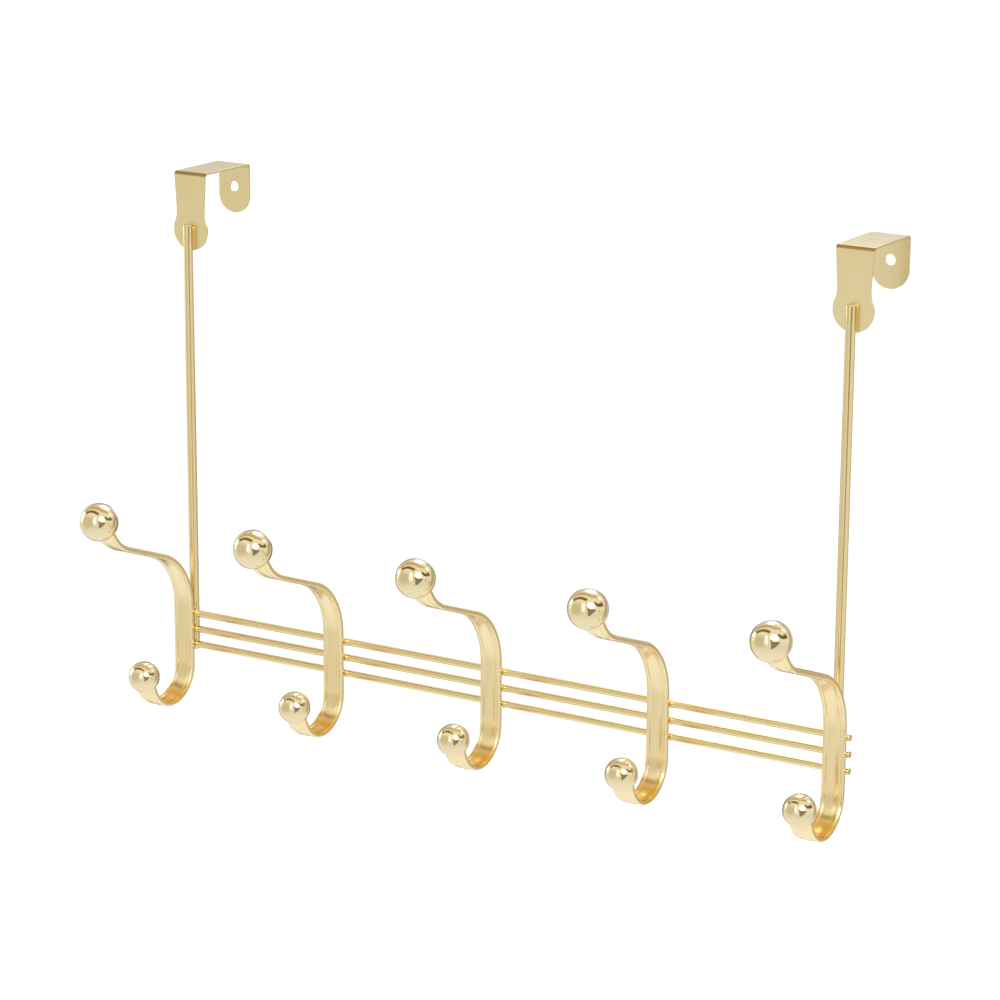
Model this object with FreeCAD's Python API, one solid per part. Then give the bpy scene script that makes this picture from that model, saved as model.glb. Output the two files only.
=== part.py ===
import FreeCAD, Part

import math
import os

from FreeCAD import Placement, Rotation, Vector

# Over door hook rack: two folded sheet brackets hang over a door and carry two drop rods,
# three rail wires run across the rods, and five S-shaped hook straps with a large ball above
# and a small ball below are welded to the front of the rails.
#
# Frame, in millimetres: X runs along the rails with zero midway between the brackets,
# Y is zero on the door's front face and grows through the door, Z is zero on the door's top edge.

# Door brackets, each one folded and blanked from sheet
sheet_thickness = 1.2
door_gap = 45.5             # clear width between the front plate and the tongue
bracket_width = 23.2
waist_width = 20.4          # narrowest place of the front plate
lobe_diameter = 25.2        # round pad that carries the rod
front_plate_drop = 47.3     # door's top edge to the bottom of the lobe
neck_radius = 15.0          # hollow between waist and lobe
tongue_drop = 30.6          # door's top edge to the bottom of the rear tongue
screw_hole_diameter = 6.5
screw_hole_drop = 14.0      # door's top edge to the hole's centre
front_bend_radius = 1.0     # inside radius
rear_bend_radius = 1.6      # inside radius

# Drop rods
rod_diameter = 5.8
rod_spacing = 450.0
rod_on_lobe = 16.4          # length of rod that lies on the bracket, from the lobe's bottom edge up
rod_tail = 4.9              # rod below the lowest rail's axis
rod_end_chamfer = 0.5

# Rail wires
rail_diameter = 4.2
rail_pitch = 10.1
rail_drop = 288.6           # door's top edge to the middle rail's axis
rail_overhang = 10.7        # rail beyond the rod's axis
rail_end_chamfer = 0.4

# Hook straps, each a reeded flat bar: a broad middle band between two beads, on both faces
strap_width = 13.8
strap_thickness = 3.5       # over the crowns
groove_thickness = 2.8      # left between the grooves
middle_band_width = 7.6
strap_edge_thickness = 2.7  # where the beads turn into the rounded corners
strap_corner_radius = 0.6
end_hook_offset = 2.4       # end straps stand this far outside the rods
shoulder_margin = 3.6       # straight back above the top rail
shoulder_radius = 40.8      # on the strap's middle, as the other radii
arm_angle = 20.2            # rise of the upper arm towards the ball
arm_length = 38.2
upper_neck_radius = 29.0
upper_neck_angle = 55.0     # rise of the strap where it enters the upper ball
upper_neck_length = 5.2
heel_margin = 9.8           # straight back below the bottom rail
cup_radius = 20.7
cup_turn = 163.6            # from straight down round to the lower ball
lower_neck_length = 1.8

# Balls
upper_ball_diameter = 23.4
lower_ball_diameter = 19.4
ball_cover = 1.2            # depth of ball over the strap's corners

# Welds: each wire, rod and strap is pressed this deep into what it is welded to
weld_depth = 0.3

hook_count = 5

rod_radius = rod_diameter / 2
rail_radius = rail_diameter / 2
upper_ball_radius = upper_ball_diameter / 2
lower_ball_radius = lower_ball_diameter / 2

# Layers from the door to the front, each seated in the one behind it
front_face_y = -sheet_thickness
rod_y = front_face_y - rod_radius + weld_depth
rail_y = rod_y - rod_radius - rail_radius + weld_depth
strap_y = rail_y - rail_radius - strap_thickness / 2 + weld_depth

rod_places = {"left": -rod_spacing / 2, "right": rod_spacing / 2}
rail_heights = {
    "top": -rail_drop + rail_pitch,
    "middle": -rail_drop,
    "bottom": -rail_drop - rail_pitch,
}
hook_span = rod_spacing + 2 * end_hook_offset
hook_pitch = hook_span / (hook_count - 1)


def arc(start, middle, end):
    return Part.Arc(start, middle, end).toShape()


def line(start, end):
    return Part.LineSegment(start, end).toShape()


def direction(rise):
    """Unit vector that leaves the door forwards and climbs at an angle in degrees."""
    a = math.radians(rise)
    return Vector(0, -math.cos(a), math.sin(a))


class BentBar:
    """Bar bent in the plane of Y and Z, made of straight runs and tangent bends of one section."""

    def __init__(self, section, start, rise):
        self.section = section
        self.point = start
        self.rise = rise
        self.pieces = []

    def section_here(self):
        """The section set square across the bar's end."""
        face = self.section.copy()
        face.Placement = Placement(self.point, Rotation(Vector(1, 0, 0), -self.rise))
        return face

    def run(self, length):
        step = direction(self.rise) * length
        self.pieces.append(self.section_here().extrude(step))
        self.point = self.point + step

    def bend(self, radius, turn):
        side = 1 if turn > 0 else -1
        centre = self.point + direction(self.rise + 90) * (radius * side)
        self.pieces.append(self.section_here().revolve(centre, Vector(-side, 0, 0), abs(turn)))
        self.rise += turn
        self.point = centre - direction(self.rise + 90) * (radius * side)


def chamfered_rod(radius, start, end, chamfer):
    """Round bar between two points, with both cut ends chamfered."""
    axis = end - start
    length = axis.Length
    outline = Part.makePolygon([
        Vector(0, 0, 0),
        Vector(radius - chamfer, 0, 0),
        Vector(radius, 0, chamfer),
        Vector(radius, 0, length - chamfer),
        Vector(radius - chamfer, 0, length),
        Vector(0, 0, length),
        Vector(0, 0, 0),
    ])
    bar = Part.Face(outline).revolve(Vector(0, 0, 0), Vector(0, 0, 1), 360)
    bar.Placement = Placement(start, Rotation(Vector(0, 0, 1), axis))
    return bar


def front_plate_outline():
    """Front plate seen from the front: tapered to a waist, then hollow sides into a round lobe."""
    lobe_radius = lobe_diameter / 2
    lobe_z = lobe_radius - front_plate_drop
    hollow_x = waist_width / 2 + neck_radius
    hollow_z = lobe_z + math.sqrt((neck_radius + lobe_radius) ** 2 - hollow_x ** 2)
    top = Vector(bracket_width / 2, 0, 0)

    # tangent from the plate's top corner to the hollow
    to_centre = Vector(hollow_x, 0, hollow_z) - top
    reach = to_centre.Length
    slant = math.atan2(to_centre.z, to_centre.x) - math.asin(neck_radius / reach)
    run = math.sqrt(reach ** 2 - neck_radius ** 2)
    taper_end = top + Vector(math.cos(slant), 0, math.sin(slant)) * run

    lean_in = math.atan2(taper_end.z - hollow_z, taper_end.x - hollow_x)
    lean_out = math.atan2(lobe_z - hollow_z, -hollow_x)
    if lean_out < 0:
        lean_out += 2 * math.pi
    if lean_in < 0:
        lean_in += 2 * math.pi

    def on_hollow(angle):
        return Vector(hollow_x + neck_radius * math.cos(angle), 0, hollow_z + neck_radius * math.sin(angle))

    def mirrored(point):
        return Vector(-point.x, 0, point.z)

    middle = on_hollow((lean_in + lean_out) / 2)
    lobe_start = on_hollow(lean_out)
    over = Vector(bracket_width / 2, 0, 2 * sheet_thickness)
    edges = [
        line(mirrored(over), over),
        line(over, top),
        line(top, taper_end),
        arc(taper_end, middle, lobe_start),
        arc(lobe_start, Vector(0, 0, -front_plate_drop), mirrored(lobe_start)),
        arc(mirrored(lobe_start), mirrored(middle), mirrored(taper_end)),
        line(mirrored(taper_end), mirrored(top)),
        line(mirrored(top), mirrored(over)),
    ]
    return Part.Face(Part.Wire(edges))


def tongue_outline():
    """Rear tongue seen from the front: parallel sides and a full round end."""
    half = bracket_width / 2
    over = 2 * sheet_thickness
    round_z = half - tongue_drop
    edges = [
        line(Vector(-half, 0, over), Vector(half, 0, over)),
        line(Vector(half, 0, over), Vector(half, 0, round_z)),
        arc(Vector(half, 0, round_z), Vector(0, 0, -tongue_drop), Vector(-half, 0, round_z)),
        line(Vector(-half, 0, round_z), Vector(-half, 0, over)),
    ]
    return Part.Face(Part.Wire(edges))


def folded_sheet():
    """Sheet folded over the door, much wider than the bracket, to be trimmed by the outlines."""
    half = lobe_diameter
    t = sheet_thickness
    front, rear = front_bend_radius, rear_bend_radius
    low_front, low_rear = -front_plate_drop, -tongue_drop

    def corner(y, z, radius, side):
        """Middle of a bend's arc, about the bend's centre."""
        return Vector(-half, y + side * radius * math.sqrt(0.5), z + radius * math.sqrt(0.5))

    front_y, front_z = front, -front
    rear_y, rear_z = door_gap - rear, -rear
    edges = [
        line(Vector(-half, -t, low_front), Vector(-half, -t, front_z)),
        arc(Vector(-half, -t, front_z), corner(front_y, front_z, front + t, -1), Vector(-half, front_y, t)),
        line(Vector(-half, front_y, t), Vector(-half, rear_y, t)),
        arc(Vector(-half, rear_y, t), corner(rear_y, rear_z, rear + t, 1), Vector(-half, door_gap + t, rear_z)),
        line(Vector(-half, door_gap + t, rear_z), Vector(-half, door_gap + t, low_rear)),
        line(Vector(-half, door_gap + t, low_rear), Vector(-half, door_gap, low_rear)),
        line(Vector(-half, door_gap, low_rear), Vector(-half, door_gap, rear_z)),
        arc(Vector(-half, door_gap, rear_z), corner(rear_y, rear_z, rear, 1), Vector(-half, rear_y, 0)),
        line(Vector(-half, rear_y, 0), Vector(-half, front_y, 0)),
        arc(Vector(-half, front_y, 0), corner(front_y, front_z, front, -1), Vector(-half, 0, front_z)),
        line(Vector(-half, 0, front_z), Vector(-half, 0, low_front)),
        line(Vector(-half, 0, low_front), Vector(-half, -t, low_front)),
    ]
    return Part.Face(Part.Wire(edges)).extrude(Vector(2 * half, 0, 0))


def door_bracket(x):
    """One bracket: front plate with its lobe, top plate over the door, rear tongue with a hole."""
    middle_y = door_gap / 2
    front = front_plate_outline().extrude(Vector(0, middle_y + 2 * sheet_thickness, 0))
    front.translate(Vector(0, -2 * sheet_thickness, 0))
    rear = tongue_outline().extrude(Vector(0, middle_y + 2 * sheet_thickness, 0))
    rear.translate(Vector(0, middle_y, 0))
    bracket = folded_sheet().common(front.fuse(rear)).removeSplitter()
    hole = Part.makeCylinder(
        screw_hole_diameter / 2, 3 * sheet_thickness,
        Vector(0, door_gap - sheet_thickness, -screw_hole_drop), Vector(0, 1, 0))
    bracket = bracket.cut(hole)
    bracket.translate(Vector(x, 0, 0))
    return bracket.Solids[0]


def rail_wire(z):
    """One straight rail across both rods."""
    reach = rod_spacing / 2 + rail_overhang
    return chamfered_rod(rail_radius, Vector(-reach, rail_y, z), Vector(reach, rail_y, z), rail_end_chamfer)


def drop_rod(x, bracket, rails):
    """One rod from the bracket's lobe down behind the rails, with a flat on the lobe and rail seats."""
    top = rod_on_lobe - front_plate_drop
    bottom = rail_heights["bottom"] - rod_tail
    rod = chamfered_rod(rod_radius, Vector(x, rod_y, bottom), Vector(x, rod_y, top), rod_end_chamfer)
    rod = rod.cut(bracket)
    for rail in rails:
        rod = rod.cut(rail)
    return rod.Solids[0]


def strap_section():
    """Half profile points mirrored into the reeded bar's section, in its own plane of X and Z."""
    half_width = strap_width / 2
    half_band = middle_band_width / 2
    crown = strap_thickness / 2
    groove = groove_thickness / 2
    edge = strap_edge_thickness / 2
    edge_x = half_width - strap_corner_radius
    bead_x = (half_band + edge_x) / 2

    def face(side):
        """One broad face from the left edge to the right one."""
        left_edge, right_edge = Vector(-edge_x, 0, side * edge), Vector(edge_x, 0, side * edge)
        left_groove, right_groove = Vector(-half_band, 0, side * groove), Vector(half_band, 0, side * groove)
        return [
            arc(left_edge, Vector(-bead_x, 0, side * crown), left_groove),
            arc(left_groove, Vector(0, 0, side * crown), right_groove),
            arc(right_groove, Vector(bead_x, 0, side * crown), right_edge),
        ]

    def narrow_side(side):
        """One narrow side, flat between two rounded corners."""
        flat = edge - strap_corner_radius
        turn = strap_corner_radius * math.sqrt(0.5)
        x, x_turn, x_flat = side * edge_x, side * (edge_x + turn), side * half_width
        return [
            arc(Vector(x, 0, edge), Vector(x_turn, 0, flat + turn), Vector(x_flat, 0, flat)),
            line(Vector(x_flat, 0, flat), Vector(x_flat, 0, -flat)),
            arc(Vector(x_flat, 0, -flat), Vector(x_turn, 0, -flat - turn), Vector(x, 0, -edge)),
        ]

    edges = face(1) + narrow_side(1) + face(-1) + narrow_side(-1)
    return Part.Face(Part.Wire(Part.__sortEdges__(edges)))


def upper_arm():
    """From the middle rail up the back, over the shoulder, along the arm and up to the upper ball."""
    bar = BentBar(strap_section(), Vector(0, strap_y, -rail_drop), 90)
    bar.run(rail_pitch + rail_radius + shoulder_margin)
    bar.bend(shoulder_radius, arm_angle - 90)
    bar.run(arm_length)
    bar.bend(upper_neck_radius, upper_neck_angle - arm_angle)
    bar.run(upper_neck_length)
    return bar


def lower_cup():
    """From the middle rail down the back and round the cup to the lower ball."""
    bar = BentBar(strap_section(), Vector(0, strap_y, -rail_drop), -90)
    bar.run(rail_pitch + rail_radius + heel_margin)
    bar.bend(cup_radius, cup_turn)
    bar.run(lower_neck_length)
    return bar


def hook_strap(rails):
    """One S-shaped strap at X zero, with a seat behind it for each rail."""
    pieces = upper_arm().pieces + lower_cup().pieces
    strap = pieces[0].multiFuse(pieces[1:]).removeSplitter()
    for rail in rails:
        strap = strap.cut(rail)
    return strap.Solids[0]


def ball_seat(radius):
    """Distance from a ball's centre to the strap's end, where the ball covers the strap's corners."""
    return math.sqrt(radius ** 2 - (strap_width / 2) ** 2) - ball_cover


def hook_ball(radius, bar, strap):
    """One ball on a strap's end, with a pocket that the strap fills."""
    centre = bar.point + direction(bar.rise) * ball_seat(radius)
    ball = Part.makeSphere(radius)
    ball.Placement = Placement(centre, Rotation(Vector(0, 0, 1), direction(bar.rise)))
    return ball.cut(strap).Solids[0]


def moved(shape, x):
    copy = shape.copy()
    copy.translate(Vector(x, 0, 0))
    return copy


def build():
    """All pieces by name."""
    parts = {}
    rails = {place: rail_wire(z) for place, z in rail_heights.items()}
    for place, rail in rails.items():
        parts["rail_wire_" + place] = rail
    for place, x in rod_places.items():
        bracket = door_bracket(x)
        parts["door_bracket_" + place] = bracket
        parts["drop_rod_" + place] = drop_rod(x, bracket, rails.values())

    strap = hook_strap(rails.values())
    upper_ball = hook_ball(upper_ball_radius, upper_arm(), strap)
    lower_ball = hook_ball(lower_ball_radius, lower_cup(), strap)
    for i in range(hook_count):
        x = i * hook_pitch - hook_span / 2
        number = str(i + 1)
        parts["hook_strap_" + number] = moved(strap, x)
        parts["upper_ball_" + number] = moved(upper_ball, x)
        parts["lower_ball_" + number] = moved(lower_ball, x)
    return parts


os.makedirs("parts", exist_ok=True)
for node, shape in build().items():
    if not shape.isValid() or len(shape.Solids) != 1:
        raise ValueError(node + " is not one valid solid")
    shape.exportStep("parts/" + node + ".step")
    box = shape.BoundBox
    print(node, "volume %.1f" % shape.Volume, "x %.1f %.1f" % (box.XMin, box.XMax),
          "y %.1f %.1f" % (box.YMin, box.YMax), "z %.1f %.1f" % (box.ZMin, box.ZMax))
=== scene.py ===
import math

import bpy
from mathutils import Matrix, Vector


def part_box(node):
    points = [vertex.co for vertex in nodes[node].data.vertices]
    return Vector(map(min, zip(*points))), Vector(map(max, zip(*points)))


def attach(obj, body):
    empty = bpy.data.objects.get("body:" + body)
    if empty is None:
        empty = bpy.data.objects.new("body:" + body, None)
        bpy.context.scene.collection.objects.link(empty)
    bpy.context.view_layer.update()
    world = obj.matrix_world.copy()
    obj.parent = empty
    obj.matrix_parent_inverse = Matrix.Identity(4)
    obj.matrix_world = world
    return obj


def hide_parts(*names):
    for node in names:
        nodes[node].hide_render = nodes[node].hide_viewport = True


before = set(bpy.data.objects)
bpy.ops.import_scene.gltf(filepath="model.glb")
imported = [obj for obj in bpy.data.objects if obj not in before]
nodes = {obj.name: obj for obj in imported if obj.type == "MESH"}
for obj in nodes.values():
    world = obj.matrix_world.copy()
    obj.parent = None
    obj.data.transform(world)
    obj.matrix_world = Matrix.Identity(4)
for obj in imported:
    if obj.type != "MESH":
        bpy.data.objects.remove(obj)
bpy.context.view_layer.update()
mm = 0.001
sides = ("left", "right")
levels = ("top", "middle", "bottom")
hookNumbers = (1, 2, 3, 4, 5)
print("frame loaded,", len(nodes), "nodes")


def centreOf(node):
    low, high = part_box(node)
    return (low + high) / 2


class Link:
    # one output of a node, which Python's operators use as a number
    def __init__(self, bench, socket):
        self.bench = bench
        self.socket = socket

    def __getitem__(self, name):
        return Link(self.bench, self.bench.find(self.socket.node.outputs, name))

    def __add__(self, other):
        return self.bench.maths("ADD", self, other)

    def __radd__(self, other):
        return self.bench.maths("ADD", other, self)

    def __sub__(self, other):
        return self.bench.maths("SUBTRACT", self, other)

    def __rsub__(self, other):
        return self.bench.maths("SUBTRACT", other, self)

    def __mul__(self, other):
        return self.bench.maths("MULTIPLY", self, other)

    def __rmul__(self, other):
        return self.bench.maths("MULTIPLY", other, self)

    def __truediv__(self, other):
        return self.bench.maths("DIVIDE", self, other)

    def __rtruediv__(self, other):
        return self.bench.maths("DIVIDE", other, self)

    def __neg__(self):
        return self.bench.maths("MULTIPLY", self, -1.0)


class Bench:
    # adds nodes to one shader or geometry tree
    def __init__(self, tree):
        self.tree = tree
        tree.nodes.clear()

    def find(self, sockets, name):
        if isinstance(name, int):
            return sockets[name]
        for socket in sockets:
            if socket.name == name and socket.enabled:
                return socket
        raise KeyError(name)

    def node(self, kind, settings=None, values=None):
        made = self.tree.nodes.new(kind)
        for name, setting in (settings or {}).items():
            if name == "stops":
                ramp = made.color_ramp
                while len(ramp.elements) < len(setting):
                    ramp.elements.new(0.5)
                for element, (place, colour) in zip(ramp.elements, setting):
                    element.position = place
                    element.color = colour
            else:
                setattr(made, name, setting)
        for name, value in (values or {}).items():
            socket = self.find(made.inputs, name)
            if isinstance(value, Link):
                self.tree.links.new(value.socket, socket)
            else:
                socket.default_value = value
        for socket in made.outputs:
            if socket.enabled:
                return Link(self, socket)
        return made

    def maths(self, operation, first, second=0.0):
        return self.node("ShaderNodeMath", {"operation": operation}, {0: first, 1: second})

    def clamp(self, value):
        return self.node("ShaderNodeClamp", None, {"Value": value})

    def mixColour(self, factor, first, second):
        return self.node("ShaderNodeMix", {"data_type": "RGBA"}, {"Factor": factor, "A": first, "B": second})


# Finishes

gold = {
    "sheet": (0.93, 0.81, 0.495, 1.0),
    "wire": (0.83, 0.69, 0.385, 1.0),
    "strap": (0.90, 0.765, 0.46, 1.0),
    "ball": (0.80, 0.70, 0.45, 1.0),         # a paler copy of the plating, painted light standing for the brighter, whiter look of the polished balls
    "deep": (0.88, 0.57, 0.14, 1.0),         # painted shade and inter-reflected orange in the strap's grooves and cup; at joints partly the braze's own colour, partly painted shade
    "fold": (0.42, 0.26, 0.08, 1.0),         # a painted dark reflection and shade along the sheet's bends
}

# what all finishes share; the bump's height is in millimetres
patina = {
    "cloudAcross": 90.0, "cloudAlong": 60.0, "cloudTone": 0.12, "cloudRough": 0.05, "baseTone": 0.06,
    "hollowRough": 0.12, "bumpHeight": 0.04, "broadBump": 0.6, "coatRoughness": 0.06,
}


def noiseOn(bench, grain, across, along, detail=2.0):
    stretched = bench.node("ShaderNodeVectorMath", {"operation": "MULTIPLY"},
                           {0: grain, 1: (across, across, along)})
    return bench.node("ShaderNodeTexNoise", {"noise_dimensions": "3D"},
                      {"Vector": stretched, "Scale": 1.0, "Detail": detail, "Roughness": 0.55})["Fac"]


def platedFinish(name, look):
    # plated metal with drawn lines along the grain attribute's third axis
    material = bpy.data.materials.new(name)
    material.use_nodes = True
    bench = Bench(material.node_tree)
    grain = bench.node("ShaderNodeAttribute", {"attribute_name": "grain"})["Vector"]
    hollow = bench.node("ShaderNodeAttribute", {"attribute_name": "hollow"})["Fac"]
    broad = noiseOn(bench, grain, look["broadAcross"], look["broadAlong"])
    fine = noiseOn(bench, grain, look["fineAcross"], look["fineAlong"], 3.0)
    cloud = noiseOn(bench, grain, patina["cloudAcross"], patina["cloudAlong"], 1.0)
    # the hollow attribute mixes in the shade colour: painted shade in grooves, cups and bends, and at joints
    # partly the braze's own colour
    tone = bench.clamp(hollow * look["hollowTone"] + (broad - 0.5) * look["toneStreak"]
                       + (cloud - 0.5) * patina["cloudTone"] + patina["baseTone"])
    colour = bench.mixColour(tone, gold[look["plating"]], gold[look["shade"]])
    rough = bench.clamp(look["roughness"] + (fine - 0.5) * look["roughStreak"]
                        + (cloud - 0.5) * patina["cloudRough"] + hollow * patina["hollowRough"])
    height = fine + broad * patina["broadBump"]
    bump = bench.node("ShaderNodeBump", None,
                      {"Strength": look["bump"], "Distance": patina["bumpHeight"] * mm, "Height": height})
    shader = bench.node("ShaderNodeBsdfPrincipled", None,
                        {"Base Color": colour, "Metallic": 1.0, "Roughness": rough, "Normal": bump,
                         "Coat Weight": look["lacquer"], "Coat Roughness": patina["coatRoughness"],
                         "Coat IOR": 1.5})
    bench.node("ShaderNodeOutputMaterial", None, {"Surface": shader})
    return material


sheetFinish = platedFinish("satin plated sheet", {
    "plating": "sheet", "shade": "fold", "broadAcross": 900.0, "broadAlong": 14.0,
    "fineAcross": 5200.0, "fineAlong": 70.0, "toneStreak": 0.10, "roughStreak": 0.10,
    "hollowTone": 1.0, "roughness": 0.26, "bump": 0.16, "lacquer": 0.2})
wireFinish = platedFinish("drawn plated wire", {
    "plating": "wire", "shade": "deep", "broadAcross": 1500.0, "broadAlong": 6.0,
    "fineAcross": 6000.0, "fineAlong": 30.0, "toneStreak": 0.16, "roughStreak": 0.07,
    "hollowTone": 0.8, "roughness": 0.19, "bump": 0.10, "lacquer": 0.2})
strapFinish = platedFinish("rolled plated strap", {
    "plating": "strap", "shade": "deep", "broadAcross": 520.0, "broadAlong": 9.0,
    "fineAcross": 5600.0, "fineAlong": 45.0, "toneStreak": 0.55, "roughStreak": 0.10,
    "hollowTone": 0.95, "roughness": 0.22, "bump": 0.18, "lacquer": 0.2})
ballFinish = platedFinish("mirror plated ball", {
    "plating": "ball", "shade": "deep", "broadAcross": 260.0, "broadAlong": 260.0,
    "fineAcross": 1700.0, "fineAlong": 1700.0, "toneStreak": 0.08, "roughStreak": 0.03,
    "hollowTone": 0.7, "roughness": 0.06, "bump": 0.012, "lacquer": 0.2})
print("finishes ready")


# Tools that every piece uses

def treeWithInputs(name, inputs):
    # a geometry tree with named number, vector and material inputs; returns it with its links and identifiers
    kinds = {"number": "NodeSocketFloat", "count": "NodeSocketInt", "vector": "NodeSocketVector",
             "material": "NodeSocketMaterial"}
    tree = bpy.data.node_groups.new(name, "GeometryNodeTree")
    tree.interface.new_socket(name="Geometry", in_out="OUTPUT", socket_type="NodeSocketGeometry")
    keys = {}
    for label, kind in inputs.items():
        keys[label] = tree.interface.new_socket(name=label, in_out="INPUT", socket_type=kinds[kind]).identifier
    bench = Bench(tree)
    source = bench.node("NodeGroupInput")
    return tree, bench, {label: source[label] for label in inputs}, keys


def stored(bench, geometry, name, value, kind="FLOAT"):
    return bench.node("GeometryNodeStoreNamedAttribute", {"data_type": kind, "domain": "POINT"},
                      {"Geometry": geometry, "Name": name, "Value": value})


def named(bench, name):
    return bench.node("GeometryNodeInputNamedAttribute", {"data_type": "FLOAT"}, {"Name": name})["Attribute"]


def sweptGrain(bench, swept):
    # a swept bar's grain: across it, through it and along it
    across, through, along = (named(bench, name) for name in ("across", "through", "along"))
    grain = bench.node("ShaderNodeCombineXYZ", None, {"X": across, "Y": through, "Z": along})
    return stored(bench, swept, "grain", grain, "FLOAT_VECTOR")


def finishTree(bench, geometry, material):
    smooth = bench.node("GeometryNodeSetShadeSmooth", None, {"Geometry": geometry, "Shade Smooth": True})
    whole = bench.node("GeometryNodeRealizeInstances", None, {"Geometry": smooth})
    dressed = bench.node("GeometryNodeSetMaterial", None, {"Geometry": whole, "Material": material})
    bench.node("NodeGroupOutput", None, {"Geometry": dressed})


def grown(name, tree, keys, values):
    # runs a tree with its values and keeps the result as a plain mesh
    seed = bpy.data.objects.new(name + ".seed", bpy.data.meshes.new(name + ".seed"))
    bpy.context.scene.collection.objects.link(seed)
    modifier = seed.modifiers.new("grow", "NODES")
    modifier.node_group = tree
    for label, value in values.items():
        modifier[keys[label]] = value
    return settled(name, seed)


def settled(name, worker):
    # evaluates an object's modifiers into a new plain mesh object
    graph = bpy.context.evaluated_depsgraph_get()
    mesh = bpy.data.meshes.new_from_object(worker.evaluated_get(graph), preserve_all_data_layers=True,
                                           depsgraph=graph)
    mesh.name = name
    made = bpy.data.objects.new(name, mesh)
    bpy.context.scene.collection.objects.link(made)
    old = worker.data
    bpy.data.objects.remove(worker)
    bpy.data.meshes.remove(old)
    return made


def meshObject(name, points, faces, material):
    mesh = bpy.data.meshes.new(name)
    mesh.from_pydata(points, [], faces)
    mesh.update()
    mesh.materials.append(material)
    mesh.polygons.foreach_set("use_smooth", [True] * len(mesh.polygons))
    made = bpy.data.objects.new(name, mesh)
    bpy.context.scene.collection.objects.link(made)
    return made


def faceOut(piece):
    # turns the shell right side out when its volume comes out negative
    mesh = piece.data
    volume = 0.0
    for face in mesh.polygons:
        spots = [mesh.vertices[v].co for v in face.vertices]
        for i in range(1, len(spots) - 1):
            volume += spots[0].dot(spots[i].cross(spots[i + 1]))
    if volume < 0:
        mesh.flip_normals()


def writeGrain(piece, rule):
    # rule gives a point's grain vector and its hollow value
    mesh = piece.data
    found = [rule(vertex.co) for vertex in mesh.vertices]
    mesh.attributes.new("grain", "FLOAT_VECTOR", "POINT")
    mesh.attributes.new("hollow", "FLOAT", "POINT")
    directions = [number for direction, depth in found for number in direction]
    mesh.attributes["grain"].data.foreach_set("vector", directions)
    mesh.attributes["hollow"].data.foreach_set("value", [depth for direction, depth in found])


def place(piece, node, slot):
    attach(piece, "root")
    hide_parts(node)


# Hook straps: a reeded bar that follows an S

strap = {
    "width": 13.8, "crown": 3.5, "groove": 2.8, "edge": 2.7, "corner": 0.6, "band": 7.6,
    "shoulderRadius": 40.8, "armRise": 20.2, "armLength": 38.2,
    "neckRadius": 29.0, "neckRise": 55.0, "neckLength": 5.2,
    "cupRadius": 20.7, "cupTurn": 163.6, "tailLength": 1.8,
    "aboveRail": 5.7, "belowRail": 11.9,      # straight back beyond the outer rails' axes
    "railPitch": 10.1, "ringStep": 0.75, "outlinePoints": 160,
    "grooveSoft": 0.12, "grooveReach": 0.7, "grooveTint": 0.06, "traceSteps": 400,
    "tintMiddle": 30.0, "tintReach": 20.0, "innerSign": -1.0,      # the painted shade lies on the inner face
}


def strapRuns():
    # each run as its length and its turn, from the lower ball to the upper one
    radius, turn = strap["cupRadius"], math.radians(strap["cupTurn"])
    shoulderTurn = math.radians(strap["armRise"] - 90)
    neckTurn = math.radians(strap["neckRise"] - strap["armRise"])
    back = strap["belowRail"] + strap["aboveRail"] + 2 * strap["railPitch"]
    return [
        (strap["tailLength"], 0.0),
        (radius * turn, -turn),
        (back, 0.0),
        (strap["shoulderRadius"] * -shoulderTurn, shoulderTurn),
        (strap["armLength"], 0.0),
        (strap["neckRadius"] * neckTurn, neckTurn),
        (strap["neckLength"], 0.0),
    ]


def strapEnds():
    # start and end of the strap's middle line as (y, z, rise), in metres, with its back on the rails
    rail = centreOf("rail_wire_middle")
    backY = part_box("hook_strap_1")[1].y - strap["crown"] / 2 * mm
    rise = math.radians(90) + math.radians(strap["cupTurn"])
    y = z = 0.0
    places = [(y, z, rise)]
    for length, turn in strapRuns():
        steps = strap["traceSteps"]
        for i in range(steps):
            heading = rise + turn * (i + 0.5) / steps
            y -= math.cos(heading) * length / steps * mm
            z += math.sin(heading) * length / steps * mm
        rise += turn
        places.append((y, z, rise))
    backStart = places[2]
    shiftY = backY - backStart[0]
    shiftZ = rail.z - (strap["railPitch"] + strap["belowRail"]) * mm - backStart[1]
    return [(y + shiftY, z + shiftZ, rise) for y, z, rise in (places[0], places[-1])]


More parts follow.
